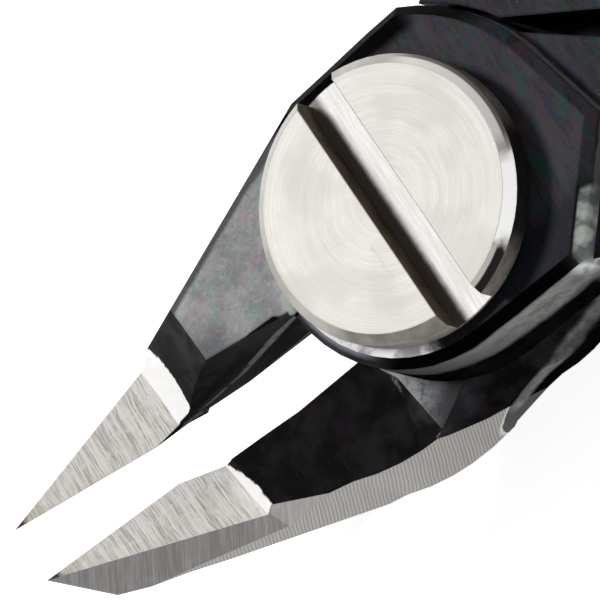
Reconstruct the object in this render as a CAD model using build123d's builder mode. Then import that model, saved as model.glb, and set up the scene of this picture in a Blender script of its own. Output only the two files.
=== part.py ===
from build123d import *
import math
import os
from typing import NamedTuple

# Flush cutter with a screwed lap joint, in millimetres.
# Origin: pivot axis, on the back face of the joint.  +Z runs along the pivot axis towards
# the screw head (the front), +Y towards the tips.
# The two halves stand sprung open, each turned half_open away from the closing plane X = 0.
# The front half has its jaw on +X and its handle on -X, the rear half the other way round.
# Both are drawn closed, with x positive towards the half's own jaw side (outwards at the jaw);
# `side` then places them.

FRONT, REAR = 1, -1       # side: sign of world X on the jaw side of each half

# ------------------------------------------------------------------- joint
half_open = 3.36          # opening of each half from the closing plane, degrees
lap_z = 3.0               # lap face; tangs, springs and grips are centred on this height
lap_gap = 0.02            # running gap between the two lap faces
top_z = 6.0               # front face of the joint
boss_r = 4.80             # round lap boss
shoulder_r = 4.95         # concave shoulder round the other half's boss
plate_r = 5.85            # handle end of each lap plate
tang_relief_r = 6.00      # concave shoulder of each tang
front_edge_bevel = 0.30   # front edge of the front lap plate
rear_edge_bevel = 0.12    # both edges of the rear lap plate
through_z, through_height = -1.0, 8.0   # start and height of cuts right through a half

# -------------------------------------------------------------------- jaws
tip_y, tip_z = 15.95, 5.26        # cutting edge at the tip
heel_y, heel_z = 10.90, 3.31      # heel of the cutting edge
edge_start_y = 11.5               # the two edges first touch here when the tool is closed
relief_start_y = boss_r + 0.02    # joint end of the relief behind the edge
step_top_z = 3.42                 # top of the step behind each ground face
blank_end_y = tip_y + 0.6         # the jaw blanks run past the tip
tip_point = (0.0, tip_y, tip_z)
edge_bevel_normal = (7.33, -2.126, 5.50)   # bevel under the cutting edge
above_z = 9.0                     # clear of everything in front of a jaw

# ------------------------------------------------------------------- screw
head_r = 4.27
head_bevel = 0.30
head_under_bevel = 0.08
head_top_z = 7.30
slot_width, slot_y, slot_floor_z = 1.40, -0.05, 6.34
journal_r = 2.60
bore_r = journal_r + 0.04         # running fit on the journal
thread_r = 2.10
thread_bevel = 0.2
thread_hole_r = thread_r + 0.02
washer_r = 4.10
washer_hole_r = journal_r + 0.1
washer_play = 0.01                # on each face of the washer
washer_z0, washer_z1 = top_z + washer_play, 6.15
head_under_z = washer_z1 + washer_play

# --------------------------------------------- tangs, springs, rivets, grips
tang_height = 4.2
tang_z0 = lap_z - tang_height / 2
tang_clearance = 0.05             # between a tang and its grip core
spring_thick = 0.50
spring_width = 3.0
spring_z0 = lap_z - spring_width / 2
rivet_r, rivet_depth = 0.80, 2.0  # shank, and its depth below the seat
rivet_head_r, rivet_head_height, rivet_head_round = 1.40, 0.55, 0.40
rivet_hole_r = rivet_r + 0.02
rivet_hole_depth = rivet_depth + 0.05
cover_gap = 0.02                  # between core and cover
grip_flat_z = -3.6                # flat underside of the covers


# ----------------------------------------------------------------- placing
def at_rest(side, x, y, z=0.0):
    """Closed-position point or direction of a half, turned to its rest position."""
    c = math.cos(math.radians(half_open))
    s = math.sin(math.radians(half_open))
    return Vector(side * (x * c + y * s), -x * s + y * c, z)


def sided(side, *points):
    """Closed-position plan points, mirrored for the rear half."""
    return [(side * x, y) for x, y in points]


def half_plane(side):
    """Plan plane of a half at Z = 0."""
    return Plane.XY.rotated((0, 0, -side * half_open))


def profile_plane(side, skew=0.0):
    """Side-view plane: X towards the tip, Y up; skew turns it anticlockwise seen from the front."""
    angle = math.radians(skew - side * half_open)
    return Plane(origin=(0, 0, 0), x_dir=(-math.sin(angle), math.cos(angle), 0),
                 z_dir=(math.cos(angle), math.sin(angle), 0))


def ground_z(y):
    """Height of the ground face at a distance from the pivot."""
    return heel_z + (tip_z - heel_z) / (tip_y - heel_y) * (y - heel_y)


class Facet(NamedTuple):
    """Flat cut through a point, taken off along its normal between two distances from the pivot."""
    point: tuple
    normal: tuple
    y_from: float
    y_to: float
    width: float = 40
    depth: float = 12


def facet_cut(side, facet):
    """Plane of a facet, and the centre and height of its strip along the plane's Y axis."""
    normal_x, normal_y, normal_z = facet.normal
    across = math.hypot(normal_x, normal_z)
    plane = Plane(origin=at_rest(side, *facet.point),
                  x_dir=at_rest(side, -normal_z / across, 0, normal_x / across),
                  z_dir=at_rest(side, *facet.normal))
    incline = across / math.hypot(normal_x, normal_y, normal_z)
    start = (facet.point[1] - facet.y_from) / incline
    end = (facet.point[1] - facet.y_to) / incline
    return plane, side * 0.5 * (start + end), abs(start - end)


def tangents(points):
    """Unit direction of a line of points at each of them."""
    out = []
    for i in range(len(points)):
        x0, y0 = points[max(i - 1, 0)]
        x1, y1 = points[min(i + 1, len(points) - 1)]
        length = math.hypot(x1 - x0, y1 - y0)
        out.append(((x1 - x0) / length, (y1 - y0) / length))
    return out


def offset_line(points, distances):
    """Points set off sideways by the local distance, positive to the left of travel."""
    return [(x - dy * distance, y + dx * distance)
            for (x, y), (dx, dy), distance in zip(points, tangents(points), distances)]


# ----------------------------------------------------- plan outlines (x, y)
# upright outer side of a jaw, tip to joint
jaw_outer = [(0.75, blank_end_y), (2.00, 12.70), (2.80, 10.30), (3.20, 9.10), (3.50, 8.20),
             (3.80, 7.30), (4.16, 6.55), (4.42, 5.80), (4.58, 5.10), (4.68, 4.30), (4.70, 3.40)]
jaw_root = [(4.40, 2.60), (3.0, 0.5), (0, 0)]

# lap plate: tip end, jaw side towards the handles, then round the handle end
plate_start = [(0, 4.0), (3.6, 3.6)]
front_plate_side = [(4.85, 3.40), (4.85, 1.80), (4.96, 0.20), (5.10, -1.60), (5.15, -2.78)]
rear_plate_side = [(4.70, 3.40), (4.62, 1.80), (4.68, 0.20), (4.86, -1.60), (5.02, -3.00)]
plate_end = [(1.2, -5.72), (-1.45, -6.50), (-4.80, -3.72), (-4.80, 0.0), (0, 4.0)]

# room for the other half's lap plate: before and after the concave tang shoulder
room_start = [(0, 0), (-7.0, 0.6), (-7.0, -2.0), (-5.60, -2.15)]
room_end = [(0.8, -5.95), (3.5, -7.5), (7.0, -3.0), (0, 0)]
# where the tangs cross, each is cut back to the lap face
crossing_room = [(0, 0), (-2.70, -5.20), (-0.16, -8.32), (0.6, -9.6), (7.0, -8.0), (7.0, -3.0),
                 (0, 0)]

# tang centre line, joint to handle end: x, y, half width
tang_stations = [(-0.6, -3.4, 3.6), (-2.6, -6.6, 3.1), (-5.0, -10.5, 2.7), (-8.6, -17.0, 2.6),
                 (-11.6, -25.0, 2.4), (-13.5, -36.0, 2.2), (-14.2, -52.0, 2.1),
                 (-13.8, -68.0, 2.0), (-12.6, -84.0, 1.8), (-11.3, -98.0, 1.5)]


def tang_edges(clearance=0.0):
    """Inner and outer edge of the tang in plan."""
    middle = [(x, y) for x, y, _ in tang_stations]
    widths = [width + clearance for _, _, width in tang_stations]
    return offset_line(middle, widths), offset_line(middle, [-width for width in widths])


# underside of the jaws, rising to the tip: y, z
underside = [(7.9, -1), (7.9, 0), (12.1, 2.0), (13.2, 2.65), (14.3, 3.1), (15.2, 3.5),
             (18, 4.1), (18, -1), (7.9, -1)]

# ------------------------------------- flat spring seat on the tang's inner side
seat_origin = (-4.656, -14.938)
seat_along = (-0.485, -0.8745)
seat_normal = (0.8745, -0.485)
seat_cut = [(-3.1, 0), (4.4, 0), (4.4, 2.0), (-3.1, 2.0), (-3.1, 0)]   # along, above
spring_flat = (-2.9, 3.6)         # the spring lies flat between these places along the seat


def seat_point(along, above):
    """Closed-position plan point at a distance along the seat and a height above it."""
    return tuple(seat_origin[k] + along * seat_along[k] + above * seat_normal[k] for k in (0, 1))


def seat_plane(side, above=0.0):
    """Plane parallel to the seat, centred on the rivet."""
    return Plane(origin=at_rest(side, *seat_point(0, above), lap_z),
                 z_dir=at_rest(side, *seat_normal))


# ------------------------------------------------------- shapes of the halves
class HalfShape(NamedTuple):
    plate_z: tuple        # bottom and top of the lap plate
    plate_side: list      # its jaw side, x, y
    plate_bevels: list    # (index of the edge group along Z, size)
    jaw_inner: list       # inner side of the jaw blank, joint to heel, x, y
    blank_facets: list    # cuts on the blank, before the tang is added
    skew: float           # skew of the top profile, degrees
    top: list             # top of the jaw up to the foot of the step, y, z
    room_z: tuple         # bottom and top of the room for the other half
    tip_facets: list      # cuts on the outer side
    wall_sections: list   # twisted inner wall: (y, its x, z points from the front down)
    relief: list          # relief behind the heel, x, y
    hole_r: float         # pivot hole


front_flank_y = 10.6      # the tip's flank starts here, and the flare behind it ends
rear_flank_y = 10.0
shelf_point = (4.66, 2.9, 1.3)

front_shape = HalfShape(
    plate_z=(lap_z + lap_gap, top_z),
    plate_side=front_plate_side,
    plate_bevels=[(-1, front_edge_bevel)],
    jaw_inner=[(-0.55, 4.70), (-0.16, 5.30), (-0.12, 6.2), (-0.20, 7.3), (0.0, 9.0)],
    # the outer side leans in towards the flat top
    blank_facets=[Facet((2.18, 7.64, top_z), (0.807, 0.332, 0.488), -14.0, 10.2)],
    skew=5.0,
    # flat top, steep facet, step
    top=[(7.72, top_z), (10.02, step_top_z), (10.55, ground_z(10.55))],
    room_z=(0, lap_z + lap_gap),
    tip_facets=[
        Facet(tip_point, (0.875, 0.220, 0.437), front_flank_y, 22.0),
        Facet((2.40, front_flank_y, 3.15), (0.684, 0.646, 0.340), 9.5, front_flank_y, depth=4),
    ],
    wall_sections=[
        (relief_start_y, [(-0.70, 7), (0.58, 3.3), (0.70, 1.6), (1.30, 0), (1.7, -1)]),
        (9.86, [(0.45, 7), (0.25, 3.3), (0.60, 1.6), (1.25, 0), (1.7, -1)]),
    ],
    relief=[(0.25, 9.85), (0.30, 10.5)],
    hole_r=bore_r,
)

rear_shape = HalfShape(
    plate_z=(0, lap_z),
    plate_side=rear_plate_side,
    plate_bevels=[(0, rear_edge_bevel), (-1, rear_edge_bevel)],
    jaw_inner=[(0.0, 4.70)],
    blank_facets=[],
    skew=3.5,
    # lap face, gentle rise, step
    top=[(-12, lap_z), (4.5, lap_z), (9.80, step_top_z), (10.18, ground_z(10.18))],
    room_z=(lap_z, lap_z + 4),
    tip_facets=[
        Facet(tip_point, (0.875, 0.208, 0.437), rear_flank_y, 22.0),
        Facet((2.34, rear_flank_y, step_top_z), (0.792, 0.469, 0.391), 6.5, rear_flank_y,
              depth=4),
        # outer edge of the lap plate, well broken, then running out beside the jaw
        Facet(shelf_point, (0.932, 0.0, 0.362), -5.0, shelf_point[1], width=12, depth=3),
        Facet(shelf_point, (0.870, -0.358, 0.338), shelf_point[1], 6.0, width=12, depth=3),
    ],
    wall_sections=[],
    relief=[(1.12, relief_start_y), (1.08, 5.4), (0.96, 7.3), (0.74, 8.7), (0.58, 9.85),
            (0.42, 10.2)],
    hole_r=thread_hole_r,
)


def make_half(side, shape):
    plan = half_plane(side)
    with BuildPart() as half:
        # lap plate with its round boss and bevelled edges
        start = sided(side, *plate_start, *shape.plate_side)
        end = sided(side, *plate_end)
        with BuildSketch(plan.offset(shape.plate_z[0])):
            Circle(boss_r)
            with BuildLine():
                Polyline(*start)
                RadiusArc(start[-1], end[0], side * plate_r)
                Polyline(*end)
            make_face()
        extrude(amount=shape.plate_z[1] - shape.plate_z[0])
        for group, size in shape.plate_bevels:
            chamfer(half.edges().group_by(Axis.Z)[group], size)

        # jaw blank, full height
        with BuildSketch(plan):
            with BuildLine():
                Polyline(*sided(side, (0, 0), *shape.jaw_inner, (0, heel_y), (0, blank_end_y),
                                *jaw_outer, *jaw_root))
            make_face()
        extrude(amount=top_z)
        for facet in shape.blank_facets:
            plane, middle, height = facet_cut(side, facet)
            with BuildSketch(plane):
                with Locations((0, middle)):
                    Rectangle(facet.width, height)
            extrude(amount=facet.depth, mode=Mode.SUBTRACT)

        # top of the jaw, ending in the ground face that rises past the tip
        past_tip_y = tip_y + 1.5
        with BuildSketch(profile_plane(side, shape.skew)):
            with BuildLine():
                Polyline((shape.top[0][0], above_z), *shape.top,
                         (past_tip_y, ground_z(past_tip_y)), (past_tip_y, above_z),
                         (shape.top[0][0], above_z))
            make_face()
        extrude(amount=9, both=True, mode=Mode.SUBTRACT)

        # tang, which leaves the joint on the far side of the closing plane
        inner, outer = (sided(side, *edge) for edge in tang_edges())
        with BuildSketch(plan.offset(tang_z0)):
            with BuildLine():
                Spline(*inner)
                Line(inner[-1], outer[-1])
                Spline(*outer[::-1])
                Line(outer[0], inner[0])
            make_face()
        extrude(amount=tang_height)

        # room for the other half's boss, lap plate and tang
        start = sided(side, *room_start)
        end = sided(side, *room_end)
        with BuildSketch(plan.offset(shape.room_z[0])):
            Circle(shoulder_r)
            with BuildLine():
                Polyline(*start)
                RadiusArc(start[-1], end[0], -side * tang_relief_r)
                Polyline(*end)
            make_face()
            with BuildLine():
                Polyline(*sided(side, *crossing_room))
            make_face()
        extrude(amount=shape.room_z[1] - shape.room_z[0], mode=Mode.SUBTRACT)

        # outer facets, bevel under the edge and rising underside
        for facet in shape.tip_facets:
            plane, middle, height = facet_cut(side, facet)
            with BuildSketch(plane):
                with Locations((0, middle)):
                    Rectangle(facet.width, height)
            extrude(amount=facet.depth, mode=Mode.SUBTRACT)
        down = [-n for n in edge_bevel_normal]
        with BuildSketch(Plane(origin=at_rest(side, *tip_point), z_dir=at_rest(side, *down))):
            Rectangle(24, 24)
        extrude(amount=10, mode=Mode.SUBTRACT)
        with BuildSketch(profile_plane(side).offset(-7)):
            with BuildLine():
                Polyline(*underside)
            make_face()
        extrude(amount=14, mode=Mode.SUBTRACT)

        # relief behind the heel of the edge
        if shape.wall_sections:
            for y, wall in shape.wall_sections:
                with BuildSketch(Plane(origin=at_rest(side, 0, y), x_dir=at_rest(side, 1, 0),
                                       z_dir=at_rest(side, 0, -side))):
                    with BuildLine():
                        Polyline((-3, 7), *wall, (-3, -1), (-3, 7))
                    make_face()
            loft(ruled=True, mode=Mode.SUBTRACT)
        relief_y = shape.relief[0][1]
        with BuildSketch(plan.offset(through_z)):
            with BuildLine():
                Polyline(*sided(side, (-2, relief_y), *shape.relief, (0, edge_start_y),
                                (-2, edge_start_y), (-2, relief_y)))
            make_face()
        extrude(amount=through_height, mode=Mode.SUBTRACT)

        with Locations(plan):
            Hole(shape.hole_r)

        # flat seat for the leaf spring, and the rivet's hole
        with BuildSketch(plan.offset(through_z)):
            with BuildLine():
                Polyline(*sided(side, *[seat_point(*place) for place in seat_cut]))
            make_face()
        extrude(amount=through_height, mode=Mode.SUBTRACT)
        with BuildSketch(seat_plane(side)):
            Circle(rivet_hole_r)
        extrude(amount=-rivet_hole_depth, mode=Mode.SUBTRACT)
    return half.part


# ------------------------------------------------------------------- pivot
def make_pivot_screw():
    """Slotted cheese head, plain journal in the front half, thread in the rear half."""
    with BuildPart() as screw:
        with BuildSketch(Plane.XZ):
            with BuildLine():
                Polyline((0, 0), (thread_r - thread_bevel, 0), (thread_r, thread_bevel),
                         (thread_r, lap_z), (journal_r, lap_z), (journal_r, head_under_z),
                         (head_r - head_under_bevel, head_under_z),
                         (head_r, head_under_z + head_under_bevel),
                         (head_r, head_top_z - head_bevel), (head_r - head_bevel, head_top_z),
                         (0, head_top_z), (0, 0))
            make_face()
        revolve(axis=Axis.Z)
        with BuildSketch(Plane.XY.offset(slot_floor_z)):
            with Locations((0, slot_y)):
                Rectangle(2 * head_r + 2, slot_width)
        extrude(amount=3, mode=Mode.SUBTRACT)
    return screw.part


def make_pivot_washer():
    with BuildPart() as washer:
        with BuildSketch(Plane.XY.offset(washer_z0)):
            Circle(washer_r)
            Circle(washer_hole_r, mode=Mode.SUBTRACT)
        extrude(amount=washer_z1 - washer_z0)
    return washer.part


# ------------------------------------------------------------ leaf springs
# middle of the free leaf in rest position, x, y, from the seat to the free end
free_leaf = [(-7.95, -20.4), (-7.35, -24.6), (-4.95, -29.0), (-2.25, -32.4), (-0.62, -35.4),
             (-0.45, -37.2), (-1.0, -39.2)]


def flat_ends(above):
    """Ends of the spring's flat stretch in rest position, at a height above the seat."""
    ends = [at_rest(FRONT, *seat_point(along, above)) for along in spring_flat]
    return [(end.X, end.Y) for end in ends]


def catmull_rom(p0, p1, p2, p3, u):
    """Point at the fraction u of the curve from p1 to p2."""
    return tuple(0.5 * (2 * b + (c - a) * u + (2 * a - 5 * b + 4 * c - d) * u ** 2
                        + (3 * b - a - 3 * c + d) * u ** 3)
                 for a, b, c, d in zip(p0, p1, p2, p3))


def leaf_middle():
    """Middle line of the leaf: its flat stretch, then a smooth curve through the knots."""
    knots = flat_ends(spring_thick / 2) + free_leaf
    path = knots[:2]
    for i in range(1, len(knots) - 1):
        p0, p1, p2 = knots[i - 1:i + 2]
        p3 = knots[min(i + 2, len(knots) - 1)]
        if i == 1:
            # steers how the curve leaves the flat stretch
            p0 = (p1[0] - 1.25 * (p2[0] - p1[0]), 2 * p1[1] - p2[1])
        path += [catmull_rom(p0, p1, p2, p3, u) for u in (0.25, 0.5, 0.75, 1.0)]
    return path


def make_leaf_spring():
    """Front spring: flat on its seat, then bowed inwards towards its twin at X = 0."""
    middle = leaf_middle()
    half_thick = [spring_thick / 2] * len(middle)
    inner = flat_ends(spring_thick) + offset_line(middle, half_thick)[2:]
    outer = flat_ends(0) + offset_line(middle, [-t for t in half_thick])[2:]
    with BuildPart() as spring:
        with BuildSketch(Plane.XY.offset(spring_z0)):
            with BuildLine():
                Line(inner[0], inner[1])
                Spline(*inner[1:])
                Line(inner[-1], outer[-1])
                Spline(*outer[:0:-1])
                Line(outer[1], outer[0])
                Line(outer[0], inner[0])
            make_face()
        extrude(amount=spring_width)
        with BuildSketch(seat_plane(FRONT, above=1)):
            Circle(rivet_hole_r)
        extrude(amount=-2, mode=Mode.SUBTRACT)
    return spring.part


def make_spring_rivet():
    """Front rivet: rounded head on the spring, shank down into the tang."""
    head_plane = seat_plane(FRONT, above=spring_thick)
    with BuildPart() as rivet:
        with BuildSketch(head_plane):
            Circle(rivet_head_r)
        extrude(amount=rivet_head_height)
        fillet(rivet.faces().sort_by(Axis.X)[-1].edges(), rivet_head_round)
        with BuildSketch(head_plane):
            Circle(rivet_r)
        extrude(amount=-rivet_depth - spring_thick)
    return rivet.part


# ------------------------------------------------------------------- grips
# elliptical sections, joint to handle end: centre x, y, half width, half height
core_sections = [
    (-10.75, -22.3, 4.0, 4.3), (-11.25, -23.6, 4.7, 5.3), (-11.75, -25.2, 4.8, 5.5),
    (-12.15, -26.8, 4.1, 4.8), (-12.60, -29.0, 3.9, 4.6), (-13.55, -36.5, 3.8, 4.5),
    (-14.20, -52.0, 3.8, 4.5), (-13.80, -68.0, 3.7, 4.4), (-12.60, -84.0, 3.5, 4.2),
    (-11.30, -98.0, 3.2, 3.9), (-10.75, -104.5, 3.0, 3.6)]
cover_sections = [
    (-12.10, -26.4, 5.0, 5.9), (-12.55, -28.6, 5.7, 6.7), (-13.30, -34.0, 6.0, 7.0),
    (-13.95, -43.0, 5.5, 6.7), (-14.20, -54.0, 5.6, 6.8), (-13.85, -67.0, 5.8, 7.0),
    (-12.90, -81.0, 5.5, 6.8), (-11.70, -94.0, 5.1, 6.6), (-10.80, -104.0, 4.8, 6.2),
    (-10.55, -108.0, 4.1, 5.4), (-10.50, -110.4, 2.6, 3.6), (-10.50, -111.2, 1.0, 1.4)]


def grip_ellipses(sections):
    """Plane, half width and half height of each section, square to the grip's centre line."""
    directions = tangents([(x, y) for x, y, _, _ in sections])
    return [(Plane(origin=at_rest(FRONT, x, y, lap_z), x_dir=at_rest(FRONT, dy, -dx),
                   z_dir=at_rest(FRONT, dx, dy)), half_width, half_height)
            for (x, y, half_width, half_height), (dx, dy) in zip(sections, directions)]


def make_grip_core():
    """Front inner sleeve over the tang, with a collar at its joint end."""
    inner, outer = (edge[2:] for edge in tang_edges(tang_clearance))
    tang_end_x, tang_end_y, _ = tang_stations[-1]
    pocket_end = (tang_end_x + 0.4, tang_end_y - 1.0)
    with BuildPart() as core:
        for plane, half_width, half_height in grip_ellipses(core_sections):
            with BuildSketch(plane):
                Ellipse(half_width, half_height)
        loft(ruled=True)
        with BuildSketch(half_plane(FRONT).offset(tang_z0 - tang_clearance)):
            with BuildLine():
                Spline(*inner)
                Line(inner[-1], pocket_end)
                Line(pocket_end, outer[-1])
                Spline(*outer[::-1])
                Line(outer[0], inner[0])
            make_face()
        extrude(amount=tang_height + 2 * tang_clearance, mode=Mode.SUBTRACT)
    return core.part


def make_grip_cover():
    """Front outer grip over the core, with a flat underside."""
    with BuildPart() as cover:
        for plane, half_width, half_height in grip_ellipses(cover_sections):
            with BuildSketch(plane):
                Ellipse(half_width, half_height)
        loft(ruled=True)
        split(bisect_by=Plane.XY.offset(grip_flat_z), keep=Keep.TOP)
        for plane, half_width, half_height in grip_ellipses(core_sections):
            with BuildSketch(plane):
                Ellipse(half_width + cover_gap, half_height + cover_gap)
        loft(ruled=True, mode=Mode.SUBTRACT)
    return cover.part


# ------------------------------------------------------------------ export
def mirrored(part):
    """The rear twin of a front piece."""
    with BuildPart() as twin:
        mirror(part, about=Plane.YZ)
    return twin.part


def export(name, part):
    part.label = name
    export_step(part, f"parts/{name}.step")


os.makedirs("parts", exist_ok=True)
export("front_half", make_half(FRONT, front_shape))
export("rear_half", make_half(REAR, rear_shape))
export("pivot_screw", make_pivot_screw())
export("pivot_washer", make_pivot_washer())
for piece, make in (("leaf_spring", make_leaf_spring), ("spring_rivet", make_spring_rivet),
                    ("grip_core", make_grip_core), ("grip_cover", make_grip_cover)):
    front_piece = make()
    export(f"front_{piece}", front_piece)
    export(f"rear_{piece}", mirrored(front_piece))
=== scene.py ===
"""Looks of a pair of crossed-over spring pliers, lying flat and slightly open.

The pivot screw stands on the Z axis, the jaws point along +Y and the handles along -Y.
Each half has a closed frame: the half turned back to its closed position and, for the rear
half, mirrored. In it the jaw lies at positive x and the handle at negative x.
Sizes are in millimetres, angles in radians; objects are built in metres.
"""
import bpy
import bmesh
import math
import random
from mathutils import Matrix, Vector


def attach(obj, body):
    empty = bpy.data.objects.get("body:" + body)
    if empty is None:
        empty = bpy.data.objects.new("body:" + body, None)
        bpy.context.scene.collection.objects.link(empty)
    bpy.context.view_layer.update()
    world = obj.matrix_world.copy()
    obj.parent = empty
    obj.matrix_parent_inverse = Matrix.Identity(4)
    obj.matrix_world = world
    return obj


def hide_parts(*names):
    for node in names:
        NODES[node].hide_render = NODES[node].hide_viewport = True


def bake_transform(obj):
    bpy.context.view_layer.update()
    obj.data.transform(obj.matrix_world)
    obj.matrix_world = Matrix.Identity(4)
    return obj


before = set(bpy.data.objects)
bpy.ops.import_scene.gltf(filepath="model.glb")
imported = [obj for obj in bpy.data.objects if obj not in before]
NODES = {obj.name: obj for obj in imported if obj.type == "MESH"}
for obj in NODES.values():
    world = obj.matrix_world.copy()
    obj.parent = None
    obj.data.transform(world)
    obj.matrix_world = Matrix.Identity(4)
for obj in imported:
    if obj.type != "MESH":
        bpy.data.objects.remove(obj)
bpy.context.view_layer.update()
random.seed(7)

MM = 0.001
PER_METRE = 1000.0
OPEN = math.radians(3.36)                  # turn of each half from its closed position
COS_OPEN, SIN_OPEN = math.cos(OPEN), math.sin(OPEN)
SIDE = {"front": 1, "rear": -1}            # the rear half mirrors the front one in x

TO_CAMERA = Vector((-0.401, -0.307, 0.863)).normalized()
VIEW_UP = Vector((0.760, -0.637, 0.126))
VIEW_UP = (VIEW_UP - TO_CAMERA * VIEW_UP.dot(TO_CAMERA)).normalized()

# Normals of the jaw facets, in a half's closed frame
GROUND_SLOPE = math.atan2(5.26 - 3.31, 15.95 - 10.90)   # rise and run of the ground face
GROUND_NORMAL = Vector((0, -math.sin(GROUND_SLOPE), math.cos(GROUND_SLOPE)))
FLANK_FRONT = Vector((0.875, 0.208, 0.437))
FLANK_BACK = Vector((1.0, 0.10, 0.0))
FLARES = [Vector((0.792, 0.469, 0.391)).normalized(), Vector((0.684, 0.646, 0.340)).normalized()]
LEANING = {"front": Vector((-0.07, 0.74, 0.67)).normalized(),
           "rear": Vector((0.0, -0.08, 1.0)).normalized()}


def to_closed(half, v):
    """A vector at rest, in the closed frame of a half."""
    side = SIDE[half]
    x = v.x * COS_OPEN - side * v.y * SIN_OPEN
    y = side * v.x * SIN_OPEN + v.y * COS_OPEN
    return Vector((side * x, y, v.z))


def turn_open(x, y):
    """A closed-frame point turned to rest, before any mirroring."""
    return x * COS_OPEN + y * SIN_OPEN, -x * SIN_OPEN + y * COS_OPEN


def placed(half, x, y, z):
    """An unmirrored point in millimetres, put on its own half in metres."""
    v = Vector((x, y, z)) * MM
    return Vector((SIDE[half] * v.x, v.y, v.z))


# -------------------------------------------------------------- shader expressions
class Signal:
    """A shader socket that combines with others, or with numbers, as an expression."""

    def __init__(self, shader, socket):
        self.shader = shader
        self.socket = socket

    def __add__(self, other):
        return self.shader.math("ADD", self, other)

    def __sub__(self, other):
        return self.shader.math("SUBTRACT", self, other)

    def __rsub__(self, other):
        return self.shader.math("SUBTRACT", other, self)

    def __mul__(self, other):
        return self.shader.math("MULTIPLY", self, other)

    def __truediv__(self, other):
        return self.shader.math("DIVIDE", self, other)

    def maximum(self, other):
        return self.shader.math("MAXIMUM", self, other)

    def absolute(self):
        return self.shader.math("ABSOLUTE", self)

    def band(self, low, high, start=0.0, end=1.0):
        """Smooth step from start at low to end at high; low may exceed high."""
        return self.shader.signal(
            "MapRange", {0: self, 1: low, 2: high, 3: start, 4: end}, interpolation_type="SMOOTHSTEP")

    def between(self, low, high, soft=0.05):
        """1 between low and high, with both ends softened."""
        return self.band(low - soft, low + soft) * self.band(high + soft, high - soft)

    def lerp(self, low, high):
        """The number low where this is 0, high where it is 1."""
        return self.shader.signal("Mix", {0: self, 2: low, 3: high}, data_type="FLOAT")

    def mix(self, first, second):
        """The first colour where this is 0, the second where it is 1."""
        return self.shader.mix(self, first, second)

    def ramp(self, low, high, first, second):
        """Fades from the first colour at low to the second at high."""
        return self.band(low, high).mix(first, second)

    def tint(self, amount, colour):
        """This colour, covered by another to the given amount."""
        return self.shader.mix(amount, self, colour)

    def dot(self, direction):
        return self.shader.signal("VectorMath", {0: self, 1: tuple(direction)}, output="Value",
                                  operation="DOT_PRODUCT")

    def warp(self, by, size):
        """This position pushed about, by up to `by`, by a soft noise of the given size."""
        shader = self.shader
        push = shader.signal("TexNoise", {"Scale": 1.0 / size, "Detail": 2, "Vector": self},
                             output="Color")
        moved = shader.signal("VectorMath", {0: push, 1: (2 * by,) * 3, 2: self},
                              operation="MULTIPLY_ADD")
        return shader.signal("VectorMath", {0: moved, 1: (by,) * 3}, operation="SUBTRACT")

    def noise(self, scale, detail=3.0, rough=0.55):
        """Noise here; scale is one number or one per axis, per millimetre."""
        if isinstance(scale, (int, float)):
            scale = (scale,) * 3
        scaled = self.shader.signal("VectorMath", {0: self, 1: scale}, operation="MULTIPLY")
        return self.shader.signal(
            "TexNoise", {"Scale": 1.0, "Detail": detail, "Roughness": rough, "Vector": scaled})


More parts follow.
